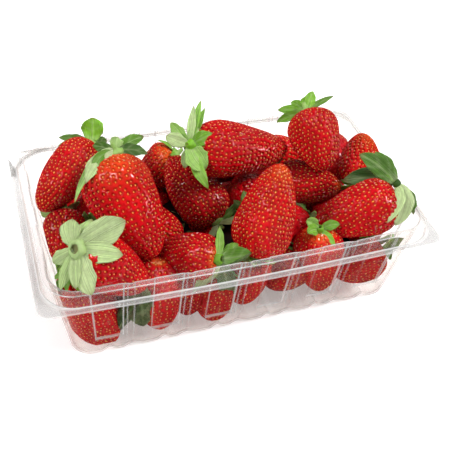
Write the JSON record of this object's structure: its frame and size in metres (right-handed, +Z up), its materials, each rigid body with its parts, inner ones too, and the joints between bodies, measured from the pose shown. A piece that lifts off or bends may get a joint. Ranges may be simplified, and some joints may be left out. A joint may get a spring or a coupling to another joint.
{
  "type": "punnet of strawberries",
  "caption": "Open clear plastic punnet with a flanged rim, panelled walls and drainage notches, heaped with whole strawberries with green calyxes.",
  "frame": {"origin": "middle of the tray's footprint, on the surface it stands on", "axes": "+X along the tray's long side, +Y toward the back long wall, +Z up"},
  "size_m": [0.196, 0.1188, 0.0923],
  "materials": {
    "clear_plastic": "clear, glossy thermoformed sheet",
    "fruit": "fresh strawberry skin, moist gloss; green leaves on the calyxes"
  },
  "bodies": {
    "root": {"tray": "clear_plastic", "strawberries": "fruit"}
  },
  "joints": []
}
